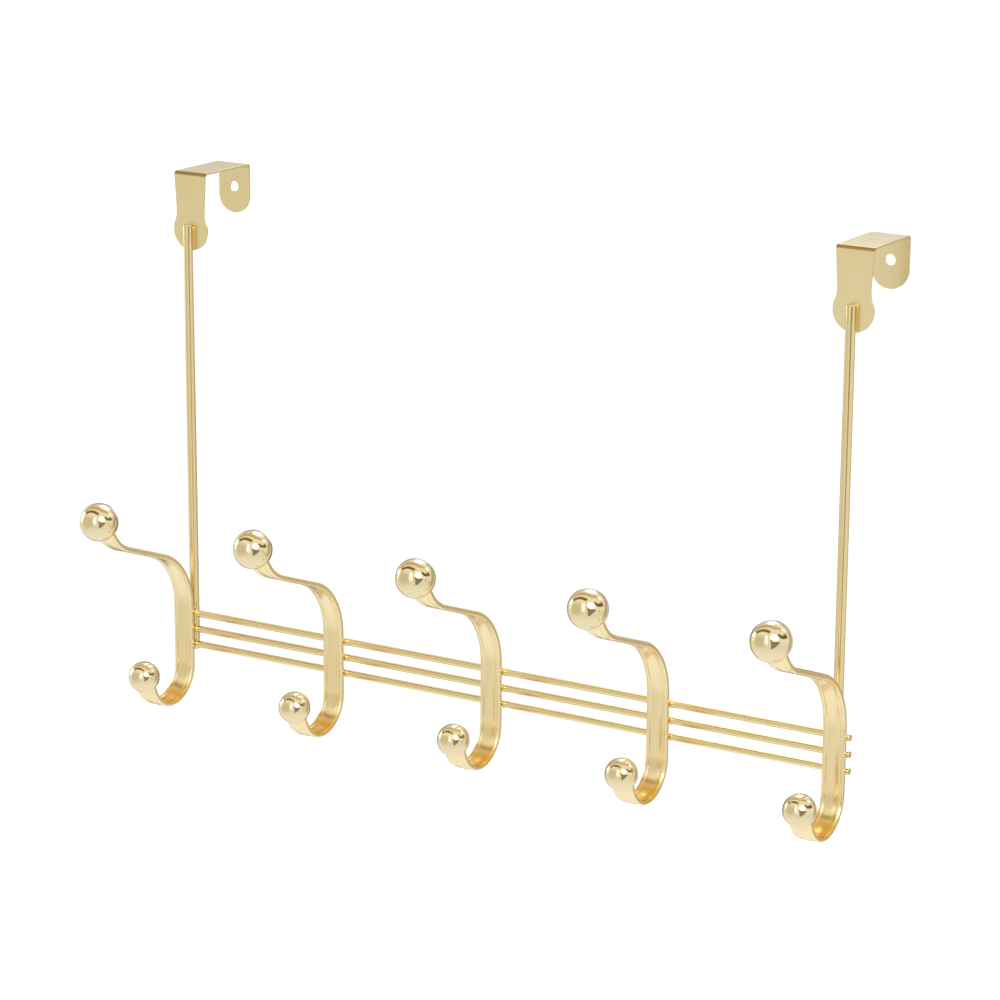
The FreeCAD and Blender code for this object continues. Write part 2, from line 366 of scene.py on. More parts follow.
def strapTree():
    bendNames = ("Cup", "Shoulder", "Neck")
    inputs = {"Start": "vector", "Start Rise": "number", "Length": "number", "Rings": "count",
              "Half Width": "number", "Half Crown": "number", "Half Groove": "number", "Half Edge": "number",
              "Half Band": "number", "Corner": "number", "Outline Points": "count", "Cup Shade Middle": "number",
              "Cup Shade Reach": "number", "Material": "material"}
    for bend in bendNames:
        inputs.update({bend + " From": "number", bend + " Length": "number", bend + " Turn": "number"})
    tree, bench, given, keys = treeWithInputs("reeded strap", inputs)

    # the path: a heading that turns through each bend, summed step by step
    count = given["Rings"]
    line = bench.node("GeometryNodeMeshLine", {"mode": "OFFSET"}, {"Count": count, "Offset": (0, 0, 0)})
    index = bench.node("GeometryNodeInputIndex")
    step = given["Length"] / (count - 1)
    along = (index + 0.5) * step
    heading = given["Start Rise"]
    for bend in bendNames:
        share = bench.clamp((along - given[bend + " From"]) / given[bend + " Length"])
        heading = heading + given[bend + " Turn"] * share
    stepY = -bench.maths("COSINE", heading) * step
    stepZ = bench.maths("SINE", heading) * step
    sumY = bench.node("GeometryNodeAccumulateField", {"data_type": "FLOAT", "domain": "POINT"}, {"Value": stepY})
    sumZ = bench.node("GeometryNodeAccumulateField", {"data_type": "FLOAT", "domain": "POINT"}, {"Value": stepZ})
    reach = bench.node("ShaderNodeCombineXYZ", None, {"Y": sumY["Trailing"], "Z": sumZ["Trailing"]})
    spot = bench.node("ShaderNodeVectorMath", {"operation": "ADD"}, {0: reach, 1: given["Start"]})
    placed = bench.node("GeometryNodeSetPosition", None, {"Geometry": line, "Position": spot})
    placed = stored(bench, placed, "along", index * step)
    path = bench.node("GeometryNodeMeshToCurve", None, {"Mesh": placed})

    # the outline: a bar with rounded corners, its broad faces raised into a middle band and two beads
    ring = bench.node("GeometryNodeCurvePrimitiveQuadrilateral", {"mode": "RECTANGLE"},
                      {"Width": given["Half Width"] * 2, "Height": given["Half Edge"] * 2})
    ring = bench.node("GeometryNodeFilletCurve", {"mode": "POLY"},
                      {"Curve": ring, "Count": 6, "Radius": given["Corner"]})
    ring = bench.node("GeometryNodeResampleCurve", {"mode": "COUNT"},
                      {"Curve": ring, "Count": given["Outline Points"]})
    spotHere = bench.node("ShaderNodeSeparateXYZ", None, {"Vector": bench.node("GeometryNodeInputPosition")})
    x, y = spotHere["X"], spotHere["Y"]
    off = bench.maths("ABSOLUTE", x)
    faceEnd = given["Half Width"] - given["Corner"]
    beadHalf = (faceEnd - given["Half Band"]) / 2
    inMiddle = off / given["Half Band"]
    inBead = (off - given["Half Band"] - beadHalf) / beadHalf
    foot = given["Half Groove"] + (given["Half Edge"] - given["Half Groove"]) * bench.clamp(inBead * 1000)
    middle = given["Half Groove"] + (given["Half Crown"] - given["Half Groove"]) * (1 - inMiddle * inMiddle)
    bead = foot + (given["Half Crown"] - foot) * (1 - inBead * inBead)
    height = bench.node("ShaderNodeMath", {"operation": "SMOOTH_MAX"},
                        {0: middle, 1: bead, 2: strap["grooveSoft"] * mm})
    onFace = bench.maths("LESS_THAN", off, faceEnd)
    through = y + (height * bench.maths("SIGN", y) - y) * onFace
    outline = bench.node("ShaderNodeCombineXYZ", None, {"X": x, "Y": through})
    fromGroove = bench.maths("ABSOLUTE", off - given["Half Band"])
    nearGroove = bench.clamp(1 - fromGroove / (strap["grooveReach"] * mm))
    for name, value in (("across", x), ("through", through), ("groove", nearGroove * nearGroove)):
        ring = stored(bench, ring, name, value)
    ring = bench.node("GeometryNodeSetPosition", None, {"Geometry": ring, "Position": outline})

    swept = bench.node("GeometryNodeCurveToMesh", None,
                       {"Curve": path, "Profile Curve": ring, "Fill Caps": True})
    swept = sweptGrain(bench, swept)
    # painted shade: a deeper orange in the grooves and on the inner face at the cup's bottom, standing for the
    # light bounced between the strap's faces
    offCupShade = (named(bench, "along") - given["Cup Shade Middle"]) / given["Cup Shade Reach"]
    inner = bench.maths("GREATER_THAN", named(bench, "through") * strap["innerSign"], 0.0)
    tint = bench.clamp(1 - offCupShade * offCupShade) * inner
    hollow = bench.clamp(named(bench, "groove") * strap["grooveTint"] + tint)
    swept = stored(bench, swept, "hollow", hollow)
    finishTree(bench, swept, given["Material"])
    return tree, keys


def makeStraps():
    tree, keys = strapTree()
    runs = strapRuns()
    starts = [sum(length for length, turn in runs[:i]) for i in range(len(runs))]
    total = sum(length for length, turn in runs)
    start = strapEnds()[0]
    values = {
        "Start Rise": start[2], "Length": total * mm, "Rings": int(total / strap["ringStep"]),
        "Half Width": strap["width"] / 2 * mm, "Half Crown": strap["crown"] / 2 * mm,
        "Half Groove": strap["groove"] / 2 * mm, "Half Edge": strap["edge"] / 2 * mm,
        "Half Band": strap["band"] / 2 * mm, "Corner": strap["corner"] * mm,
        "Outline Points": strap["outlinePoints"], "Material": strapFinish,
        "Cup Shade Middle": strap["tintMiddle"] * mm, "Cup Shade Reach": strap["tintReach"] * mm,
    }
    for bend, i in (("Cup", 1), ("Shoulder", 3), ("Neck", 5)):
        values[bend + " From"] = starts[i] * mm
        values[bend + " Length"] = runs[i][0] * mm
        values[bend + " Turn"] = runs[i][1]
    for number in hookNumbers:
        x = centreOf("hook_strap_%d" % number).x
        values["Start"] = (x, start[0], start[1])
        piece = grown("hookStrap%d" % number, tree, keys, values)
        faceOut(piece)
        place(piece, "hook_strap_%d" % number, "hook_strap")


makeStraps()
print("hook straps ready")


# Balls: polished, with a small fillet of braze where the strap enters

ball = {
    "fillet": 0.45, "meridians": 128, "rings": 72, "tuck": 1.2,
    # the fillet's rings, as shares of its size away from the strap and down along it
    "filletSteps": ((0.55, 0.12), (0.25, 0.35), (0.08, 0.7), (0.0, 1.1), (-0.4, 1.15)),
}


def slotOutline(count):
    # evenly spaced points round the strap's grooves and corners, from the middle of its +X side
    halfWidth, halfHeight, corner = (strap[key] * mm * share for key, share in
                                     (("width", 0.5), ("groove", 0.5), ("corner", 1.0)))
    ring = [Vector((halfWidth, 0))]
    for quarter in range(4):
        middleX = (halfWidth - corner) * (1 if quarter in (0, 3) else -1)
        middleY = (halfHeight - corner) * (1 if quarter < 2 else -1)
        for i in range(9):
            turn = math.pi / 2 * (quarter + i / 8)
            ring.append(Vector((middleX + corner * math.cos(turn), middleY + corner * math.sin(turn))))
    ring.append(ring[0])
    step = sum((b - a).length for a, b in zip(ring, ring[1:])) / count
    spaced, walked = [], 0.0
    for a, b in zip(ring, ring[1:]):
        length = (b - a).length
        while len(spaced) < count and len(spaced) * step < walked + length:
            spaced.append(a.lerp(b, (len(spaced) * step - walked) / length))
        walked += length
    return spaced


def ballMesh(name, centre, radius, inward, material):
    # inward points from the strap into the ball; rings run from the far pole down to the strap's outline
    acrossAxis = Vector((1, 0, 0))
    throughAxis = inward.cross(acrossAxis).normalized()
    fillet = ball["fillet"] * mm
    count, rings = ball["meridians"], ball["rings"]
    outline = slotOutline(count)
    points = [centre + inward * radius]
    for k in range(1, rings + 1):
        part = k / rings
        ease = part * part * (3 - 2 * part)
        for i, (x, y) in enumerate(outline):
            even = 2 * math.pi * i / count
            slot = math.atan2(y, x) % (2 * math.pi)
            turn = even + (slot - even) * ease
            reach = math.hypot(x, y) + fillet
            polar = part * (math.pi - math.asin(reach / radius))
            side = acrossAxis * math.cos(turn) + throughAxis * math.sin(turn)
            points.append(centre + (inward * math.cos(polar) + side * math.sin(polar)) * radius)
    for out, down in ball["filletSteps"]:
        for x, y in outline:
            reach = math.hypot(x, y)
            side = (acrossAxis * x + throughAxis * y) / reach
            foot = math.sqrt(radius ** 2 - (reach + fillet) ** 2)
            points.append(centre + side * (reach + fillet * out) - inward * (foot + fillet * down))
    last = rings + len(ball["filletSteps"])
    points.append(centre - inward * (radius * 0.5))

    faces = []
    for i in range(count):
        j = (i + 1) % count
        faces.append((0, 1 + i, 1 + j))
        for k in range(last - 1):
            a, b = 1 + k * count + i, 1 + k * count + j
            faces.append((a, a + count, b + count, b))
        a, b = 1 + (last - 1) * count + i, 1 + (last - 1) * count + j
        faces.append((a, len(points) - 1, b))
    made = meshObject(name, points, faces, material)
    faceOut(made)
    foot = math.sqrt(radius ** 2 - (strap["width"] / 2 * mm) ** 2)
    # the hollow value darkens the braze fillet and the ball beside it toward the shade colour: partly the braze's
    # own colour, partly painted shade at the joint
    writeGrain(made, lambda p: (p - centre, max(0.0, min(1.0, ((centre - p).dot(inward) - foot) / fillet))))
    return made


def makeBalls():
    for end, label in zip(strapEnds(), ("lower", "upper")):
        sign = -1 if label == "lower" else 1
        rise = end[2]
        inward = Vector((0, -math.cos(rise), math.sin(rise))) * sign
        for number in hookNumbers:
            node = "%s_ball_%d" % (label, number)
            low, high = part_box(node)
            radius = (high.x - low.x) / 2
            x = (low.x + high.x) / 2
            seat = math.sqrt(radius ** 2 - (strap["width"] / 2 * mm) ** 2) - ball["tuck"] * mm
            centre = Vector((x, end[0], end[1])) + inward * seat
            piece = ballMesh("%sBall%d" % (label, number), centre, radius, inward, ballFinish)
            place(piece, node, "polished_ball")


makeBalls()
print("balls ready")


# Rails and rods: drawn wire with sheared, slightly rounded ends

wire = {"aroundCount": 48, "lip": 0.45, "lipRings": 6, "bodyRings": 24}


def wireTree():
    inputs = {"Start": "vector", "End": "vector", "Radius": "number", "Lip": "number", "Lip Rings": "count",
              "Body Rings": "count", "Around": "count", "Material": "material"}
    tree, bench, given, keys = treeWithInputs("sheared wire", inputs)
    lipRings, bodyRings = given["Lip Rings"], given["Body Rings"]
    count = lipRings * 2 + bodyRings + 1
    line = bench.node("GeometryNodeMeshLine", {"mode": "OFFSET"}, {"Count": count, "Offset": (0, 0, 0)})
    index = bench.node("GeometryNodeInputIndex")
    span = bench.node("ShaderNodeVectorMath", {"operation": "SUBTRACT"}, {0: given["End"], 1: given["Start"]})
    length = bench.node("ShaderNodeVectorMath", {"operation": "LENGTH"}, {0: span})["Value"]
    first = bench.clamp(index / lipRings)
    body = bench.clamp((index - lipRings) / bodyRings)
    last = bench.clamp((index - lipRings - bodyRings) / lipRings)
    quarter = math.pi / 2
    away = (given["Lip"] * (1 - bench.maths("COSINE", first * quarter)) + (length - given["Lip"] * 2) * body
            + given["Lip"] * bench.maths("SINE", last * quarter))
    size = (given["Radius"] - given["Lip"] + given["Lip"] * bench.maths("SINE", first * quarter)
            - given["Lip"] * (1 - bench.maths("COSINE", last * quarter)))
    heading = bench.node("ShaderNodeVectorMath", {"operation": "NORMALIZE"}, {0: span})
    offset = bench.node("ShaderNodeVectorMath", {"operation": "SCALE"}, {0: heading, "Scale": away})
    spot = bench.node("ShaderNodeVectorMath", {"operation": "ADD"}, {0: given["Start"], 1: offset})
    line = bench.node("GeometryNodeSetPosition", None, {"Geometry": line, "Position": spot})
    for name, value in (("along", away), ("size", size)):
        line = stored(bench, line, name, value)
    path = bench.node("GeometryNodeMeshToCurve", None, {"Mesh": line})
    path = bench.node("GeometryNodeSetCurveRadius", None, {"Curve": path, "Radius": named(bench, "size")})
    ring = bench.node("GeometryNodeCurvePrimitiveCircle", {"mode": "RADIUS"},
                      {"Resolution": given["Around"], "Radius": 1.0})
    angle = index / given["Around"] * (2 * math.pi)
    for name, value in (("across", bench.maths("COSINE", angle)), ("through", bench.maths("SINE", angle))):
        ring = stored(bench, ring, name, value * given["Radius"])
    swept = sweep(bench, path, ring)
    swept = sweptGrain(bench, swept)
    finishTree(bench, swept, given["Material"])
    return tree, keys


def sweep(bench, path, ring):
    # sweeps an outline along a path at the path's own radius
    values = {"Curve": path, "Profile Curve": ring, "Fill Caps": True}
    swept = bench.node("GeometryNodeCurveToMesh", None, values)
    scale = swept.socket.node.inputs.get("Scale")
    if scale is not None:
        radius = bench.node("GeometryNodeInputRadius")
        bench.tree.links.new(radius.socket, scale)
    return swept


def makeWires():
    tree, keys = wireTree()
    jobs = [("rail_wire_" + level, "railWire" + level.capitalize(), 0) for level in levels]
    jobs += [("drop_rod_" + side, "dropRod" + side.capitalize(), 2) for side in sides]
    for node, name, axis in jobs:
        low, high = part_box(node)
        radius = (high.x - low.x) / 2 if axis == 2 else (high.z - low.z) / 2
        middle = (low + high) / 2
        if axis == 2:
            middle.y = low.y + radius       # the rod's back is flattened on the lobe
        start, end = middle.copy(), middle.copy()
        start[axis], end[axis] = low[axis], high[axis]
        piece = grown(name, tree, keys, {
            "Start": start, "End": end, "Radius": radius, "Lip": wire["lip"] * mm, "Lip Rings": wire["lipRings"],
            "Body Rings": wire["bodyRings"], "Around": wire["aroundCount"], "Material": wireFinish})
        place(piece, node, "rod_wire")


makeWires()
print("rails and rods ready")


# Door brackets: blanked sheet, folded over the door

bracket = {
    "sheet": 1.2, "gap": 45.5, "width": 23.2, "waist": 20.4, "lobe": 25.2, "frontDrop": 47.3, "hollow": 15.0,
    "tongueDrop": 30.6, "hole": 6.5, "holeDrop": 14.0, "frontBend": 1.0, "rearBend": 1.6,
    "bendSteps": 10, "edgeRound": 0.16,
}


def frontOutline():
    # right half of the front plate from its bend down to the lobe's lowest point, as (x, z)
    width, lobe = bracket["width"] / 2, bracket["lobe"] / 2
    lobeZ = lobe - bracket["frontDrop"]
    hollowX = bracket["waist"] / 2 + bracket["hollow"]
    hollowZ = lobeZ + math.sqrt((bracket["hollow"] + lobe) ** 2 - hollowX ** 2)
    reach = math.hypot(hollowX - width, hollowZ)
    slant = math.atan2(hollowZ, hollowX - width) - math.asin(bracket["hollow"] / reach)
    run = math.sqrt(reach ** 2 - bracket["hollow"] ** 2)
    taperX, taperZ = width + math.cos(slant) * run, math.sin(slant) * run
    slope = (taperX - width) / taperZ
    bendZ = -bracket["frontBend"]
    first = math.atan2(taperZ - hollowZ, taperX - hollowX) % (2 * math.pi)
    second = math.atan2(lobeZ - hollowZ, -hollowX) % (2 * math.pi)
    points = [(width + slope * bendZ, bendZ)]
    for i in range(13):
        turn = first + (second - first) * i / 12
        points.append((hollowX + bracket["hollow"] * math.cos(turn), hollowZ + bracket["hollow"] * math.sin(turn)))
    lobeStart = math.atan2(points[-1][1] - lobeZ, points[-1][0])
    for i in range(1, 33):
        turn = lobeStart + (-math.pi / 2 - lobeStart) * i / 32
        points.append((lobe * math.cos(turn), lobeZ + lobe * math.sin(turn)))
    return points, slope


def makeBracket(side):
    x = centreOf("door_bracket_" + side).x / mm
    sheet, gap, half = bracket["sheet"], bracket["gap"], bracket["width"] / 2
    points, faces = [], []

    def add(px, py, pz):
        points.append(((x + px) * mm, py * mm, pz * mm))
        return len(points) - 1

    # outer skin: front plate
    right, slope = frontOutline()
    outline = right + [(-px, pz) for px, pz in reversed(right[:-1])]
    front = [add(px, -sheet, pz) for px, pz in outline]
    faces.append(front[::-1])
    rowRight, rowLeft = front[0], front[-1]

    def strip(stations):
        nonlocal rowRight, rowLeft
        for width, py, pz in stations:
            newRight, newLeft = add(width, py, pz), add(-width, py, pz)
            faces.append([rowLeft, rowRight, newRight, newLeft])
            rowRight, rowLeft = newRight, newLeft

    # front bend, top plate, rear bend
    steps = bracket["bendSteps"]
    radius = bracket["frontBend"]
    stations = []
    for i in range(1, steps + 1):
        turn = math.pi / 2 * i / steps
        py, pz = radius - (radius + sheet) * math.cos(turn), -radius + (radius + sheet) * math.sin(turn)
        stations.append((half + slope * min(0.0, pz), py, pz))
    strip(stations)
    radius = bracket["rearBend"]
    stations = [(half, gap - radius, sheet)]
    for i in range(1, steps + 1):
        turn = math.pi / 2 * i / steps
        stations.append((half, gap - radius + (radius + sheet) * math.sin(turn),
                         -radius + (radius + sheet) * math.cos(turn)))
    strip(stations)

    # rear tongue in two halves round the hole
    rearY, roundZ = gap + sheet, half - bracket["tongueDrop"]
    holeR, holeZ = bracket["hole"] / 2, -bracket["holeDrop"]
    top = add(0, rearY, -radius)
    faces[-1].insert(3, top)        # the last bend row shares the tongue's middle point
    bottom = add(0, rearY, -bracket["tongueDrop"])
    ringTop, ringBottom = add(0, rearY, holeZ + holeR), add(0, rearY, holeZ - holeR)
    for sign, corner in ((1, rowRight), (-1, rowLeft)):
        border = [corner, add(sign * half, rearY, roundZ)]
        for i in range(1, 24):
            turn = math.pi / 2 * i / 24
            border.append(add(sign * half * math.cos(turn), rearY, roundZ - half * math.sin(turn)))
        ring = []
        for i in range(1, 20):
            turn = math.pi * i / 20
            ring.append(add(sign * holeR * math.sin(turn), rearY, holeZ - holeR * math.cos(turn)))
        loop = [top] + border + [bottom, ringBottom] + ring + [ringTop]
        faces.append(loop if sign > 0 else loop[::-1])

    piece = meshObject("sheet.work", points, faces, sheetFinish)
    thick = piece.modifiers.new("sheet", "SOLIDIFY")
    thick.thickness = sheet * mm
    thick.offset = -1.0
    thick.use_even_offset = True
    thick.use_quality_normals = True
    edge = piece.modifiers.new("edge", "BEVEL")
    edge.width = bracket["edgeRound"] * mm
    edge.segments = 3
    edge.limit_method = "ANGLE"
    edge.angle_limit = math.radians(40)
    edge.harden_normals = True
    made = settled("doorBracket" + side.capitalize(), piece)
    faceOut(made)

    def grainAt(point):
        across, y, z = point.x, point.y, point.z
        depth = 0.0
        # painted shade: the bends are darkened toward the painted fold shade colour, standing for the dark studio
        # reflected there
        for radius, weight, reach in ((bracket["frontBend"] * mm, 0.9, bracket["frontBend"] * mm - y),
                                      (bracket["rearBend"] * mm, 0.5, y - (gap - bracket["rearBend"]) * mm)):
            if reach > 0 and z > -radius:
                depth = min(weight, 2 * math.sin(2 * math.atan2(z + radius, reach)))
        if y < 2 * mm:
            along = z
        elif y > (gap - 3) * mm:
            along = gap * mm - z
        else:
            along = y
        return Vector((across, 0, along)), max(0.0, depth)

    writeGrain(made, grainAt)
    place(made, "door_bracket_" + side, "bracket_sheet")


for side in sides:
    makeBracket(side)
print("door brackets ready")


# Braze: small golden lumps where the pieces are joined

braze = {
    # half sizes across, through and down; spreads are shares of the rod's radius
    "atHooks": (1.3, 1.7, 2.3), "pastEdge": 0.6, "proudAtHooks": 0.7,
    "atRods": (1.2, 1.1, 1.8), "spreadAtRods": 0.85,
    "onLobe": (1.1, 0.7), "spreadOnLobe": 0.8, "proudOnLobe": 0.2, "shortOnLobe": 0.5,
    "lumps": 0.35, "lumpScale": 620.0, "tint": 0.85, "seed": 7,
}


def brazeTree():
    inputs = {"First": "vector", "Pitch X": "number", "Pitch Z": "number", "Columns": "count",
              "Levels": "count", "Trim Ends": "number", "Half Gap": "number", "Size": "vector",
              "Lumps": "number", "Seed": "count", "Material": "material"}
    tree, bench, given, keys = treeWithInputs("braze lumps", inputs)
    index = bench.node("GeometryNodeInputIndex")
    edge = bench.maths("MODULO", index, 2.0)
    pair = bench.maths("FLOOR", index / 2)
    level = bench.maths("MODULO", pair, given["Levels"])
    column = bench.maths("FLOOR", (pair + 0.01) / given["Levels"])
    offset = bench.node("ShaderNodeCombineXYZ", None,
                        {"X": column * given["Pitch X"] + (edge * 2 - 1) * given["Half Gap"],
                         "Z": level * given["Pitch Z"]})
    spot = bench.node("ShaderNodeVectorMath", {"operation": "ADD"}, {0: offset, 1: given["First"]})
    spots = bench.node("GeometryNodeMeshLine", {"mode": "OFFSET"},
                       {"Count": given["Columns"] * given["Levels"] * 2, "Offset": (0, 0, 0)})
    spots = bench.node("GeometryNodeSetPosition", None, {"Geometry": spots, "Position": spot})
    fromEnd = bench.maths("MINIMUM", column + edge, given["Columns"] - column - edge)
    spots = bench.node("GeometryNodeDeleteGeometry", {"domain": "POINT"},
                       {"Geometry": spots, "Selection": bench.maths("LESS_THAN", fromEnd, given["Trim Ends"])})
    lump = bench.node("GeometryNodeMeshIcoSphere", None, {"Radius": 1.0, "Subdivisions": 4})
    varied = bench.node("FunctionNodeRandomValue", {"data_type": "FLOAT_VECTOR"},
                        {"Min": (0.85, 0.92, 0.92), "Max": (1.2, 1.08, 1.06), "Seed": given["Seed"]})
    size = bench.node("ShaderNodeVectorMath", {"operation": "MULTIPLY"}, {0: varied, 1: given["Size"]})
    lumps = bench.node("GeometryNodeInstanceOnPoints", None, {"Points": spots, "Instance": lump, "Scale": size})
    lumps = bench.node("GeometryNodeRealizeInstances", None, {"Geometry": lumps})
    here = bench.node("GeometryNodeInputPosition")
    rise = bench.node("ShaderNodeTexNoise", {"noise_dimensions": "3D"},
                      {"Vector": here, "Scale": braze["lumpScale"], "Detail": 1.0})["Fac"]
    push = bench.node("ShaderNodeVectorMath", {"operation": "SCALE"},
                      {0: bench.node("GeometryNodeInputNormal"), "Scale": (rise - 0.5) * given["Lumps"]})
    lumps = bench.node("GeometryNodeSetPosition", None, {"Geometry": lumps, "Offset": push})
    lumps = stored(bench, lumps, "grain", here, "FLOAT_VECTOR")
    # the braze lumps are darkened toward the shade colour: partly the braze's own colour, partly painted
    # reflection of the orange light between the joined pieces
    lumps = stored(bench, lumps, "hollow", braze["tint"])
    finishTree(bench, lumps, given["Material"])
    return tree, keys


def makeBraze():
    tree, keys = brazeTree()
    lowest, highest = centreOf("rail_wire_bottom"), centreOf("rail_wire_top")
    railPitch = (highest.z - lowest.z) / 2
    strapLow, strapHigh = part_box("hook_strap_1")
    firstHook, lastHook = centreOf("hook_strap_1").x, centreOf("hook_strap_5").x
    rodLow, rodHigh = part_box("drop_rod_left")
    rodLeft, rodRight = (centreOf("drop_rod_" + side).x for side in sides)
    rodRadius = (rodHigh.x - rodLow.x) / 2
    onLobe = (rodHigh.z + bracket["frontDrop"] * mm) / 2      # half the rod's length on the lobe
    atHooks = {
        "First": (firstHook, lowest.y - braze["proudAtHooks"] * mm, lowest.z),
        "Pitch X": (lastHook - firstHook) / 4, "Pitch Z": railPitch,
        "Columns": 5, "Levels": 3, "Trim Ends": 0.5,
        "Half Gap": (strapHigh.x - strapLow.x) / 2 + braze["pastEdge"] * mm,
        "Size": [size * mm for size in braze["atHooks"]],
    }
    atRods = {
        "First": (rodLeft, rodLow.y, lowest.z), "Pitch X": rodRight - rodLeft, "Pitch Z": railPitch,
        "Columns": 2, "Levels": 3, "Trim Ends": 0.0, "Half Gap": rodRadius * braze["spreadAtRods"],
        "Size": [size * mm for size in braze["atRods"]],
    }
    onLobes = {
        "First": (rodLeft, -(bracket["sheet"] + braze["proudOnLobe"]) * mm, rodHigh.z - onLobe),
        "Pitch X": rodRight - rodLeft, "Pitch Z": 0.0,
        "Columns": 2, "Levels": 1, "Trim Ends": 0.0, "Half Gap": rodRadius * braze["spreadOnLobe"],
        "Size": [size * mm for size in braze["onLobe"]] + [onLobe - braze["shortOnLobe"] * mm],
    }
    for name, job in (("brazeAtHooks", atHooks), ("brazeAtRods", atRods), ("brazeOnLobes", onLobes)):
        job.update({"Lumps": braze["lumps"] * mm, "Seed": braze["seed"], "Material": wireFinish})
        piece = grown(name, tree, keys, job)
        faceOut(piece)
        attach(piece, "root")


makeBraze()
print("braze ready")


# Studio: pale floor, white surround, soft lamps and toned bands that only reflections see

studio = {
    "floorZ": -1.95, "floorSize": 30.0, "worldDirect": 0.8, "floorGlow": 0.40, "floorGloss": 0.22,
    "lookAt": (0.0, -0.04, -0.17),
}

# each band follows a path of directions, in degrees right of and above the way to the camera;
# it is so many degrees thick at its start and end, and fades at its ends, lower and upper edge
bands = {
    "leftWall": {"path": ((-124, -5), (-60, -2), (-8, 4)), "thick": (84, 78), "distance": 3.3,
                 "tone": (0.74, 0.70, 0.58), "fade": (0.3, 0.4, 0.35)},
    "backdrop": {"path": ((-42, 182), (0, 182), (46, 185)), "thick": (74, 74), "distance": 1.15,
                 "tone": (0.30, 0.26, 0.18), "fade": (0.2, 0.3, 0.3)},
    "sideWall": {"path": ((38, 190), (88, 196)), "thick": (74, 74), "distance": 1.3,
                 "tone": (0.56, 0.48, 0.34), "fade": (0.4, 0.3, 0.3)},
    "leftBeam": {"path": ((-57, 120), (-36, 82), (0, 48)), "thick": (18, 22), "distance": 2.5,
                 "tone": (0.25, 0.16, 0.03), "fade": (0.06, 0.12, 0.45)},
    "rightBeam": {"path": ((30, 42), (52, 30), (66, 46), (70, 105)), "thick": (16, 26), "distance": 2.5,
                  "tone": (0.19, 0.13, 0.03), "fade": (0.1, 0.15, 0.45)},
    "ceiling": {"path": ((-54, 156), (-30, 126), (-12, 98), (14, 78), (52, 92)), "thick": (44, 24),
                "distance": 2.9, "tone": (0.70, 0.51, 0.27), "fade": (0.12, 0.25, 0.6)},
    "rightRim": {"path": ((26, 128), (42, 152), (52, 176)), "thick": (14, 14), "distance": 2.7,
                 "tone": (0.34, 0.27, 0.13), "fade": (0.2, 0.3, 0.3)},
    "cameraStand": {"path": ((21, 4), (2, -39)), "thick": (62, 5), "distance": 2.3,
                    "tone": (0.31, 0.29, 0.18), "fade": (0.05, 0.1, 0.1)},
    "standPost": {"path": ((-9, 44), (-9, -30)), "thick": (3, 3), "distance": 2.1,
                  "tone": (0.5, 0.46, 0.34), "fade": (0.1, 0.3, 0.3)},
    "leftSheen": {"path": ((-42, 10), (-7, 7)), "thick": (58, 70), "distance": 2.6,
                  "tone": (1.30, 1.38, 1.65), "fade": (0.35, 0.3, 0.25)},
    "rightGleam": {"path": ((44, 86), (58, 112)), "thick": (14, 14), "distance": 2.4,
                   "tone": (1.9, 1.8, 1.6), "fade": (0.3, 0.3, 0.3)},
    "backGlow": {"path": ((-8, 165), (24, 165)), "thick": (28, 28), "distance": 1.05,
                 "tone": (1.35, 1.45, 1.7), "fade": (0.3, 0.3, 0.4)},
    "overTops": {"path": ((-40, 148), (40, 148)), "thick": (44, 44), "distance": 3.6,
                 "tone": (0.68, 0.66, 0.66), "fade": (0.3, 0.3, 0.4)},
}

# the photograph's view: turns in radians, and the focal length in pixels of its width
camera = {"place": (1004.61, -1665.8, 343.36), "turn": 0.54347, "tilt": 0.2604, "roll": 0.00565,
          "focal": 3390.0, "imageWidth": 1000, "sensor": 36.0}


def cameraAxes():
    # right, up and forward of the photograph's view
    turn, tilt, roll = camera["turn"], camera["tilt"], camera["roll"]
    forward = Vector((-math.sin(turn) * math.cos(tilt), math.cos(turn) * math.cos(tilt), -math.sin(tilt)))
    level = Vector((math.cos(turn), math.sin(turn), 0))
    above = level.cross(forward)
    right = level * math.cos(roll) + above * math.sin(roll)
    up = above * math.cos(roll) - level * math.sin(roll)
    return right, up, forward


def makeCamera():
    right, up, forward = cameraAxes()
    data = bpy.data.cameras.new("camera")
    data.sensor_width = camera["sensor"]
    data.lens = camera["focal"] / camera["imageWidth"] * camera["sensor"]
    data.clip_start = 0.05
    data.clip_end = 60.0
    made = bpy.data.objects.new("camera", data)
    bpy.context.scene.collection.objects.link(made)
    turned = Matrix((right, up, -forward)).transposed().to_4x4()
    made.matrix_world = Matrix.Translation(Vector(camera["place"]) * mm) @ turned
    bpy.context.scene.camera = made


def seenWhite(bench):
    # 1 for the rays that see the background, straight or in metal
    path = bench.node("ShaderNodeLightPath")
    seen = bench.maths("MAXIMUM", path["Is Camera Ray"], path["Is Glossy Ray"])
    return bench.maths("MAXIMUM", seen, path["Is Transmission Ray"])


def makeWorld():
    world = bpy.data.worlds.new("studio")
    bpy.context.scene.world = world
    world.use_nodes = True
    bench = Bench(world.node_tree)
    seen = seenWhite(bench)
    strength = studio["worldDirect"] + seen * (1.0 - studio["worldDirect"])
    back = bench.node("ShaderNodeBackground", None, {"Color": (1, 1, 1, 1), "Strength": strength})
    bench.node("ShaderNodeOutputWorld", None, {"Surface": back})


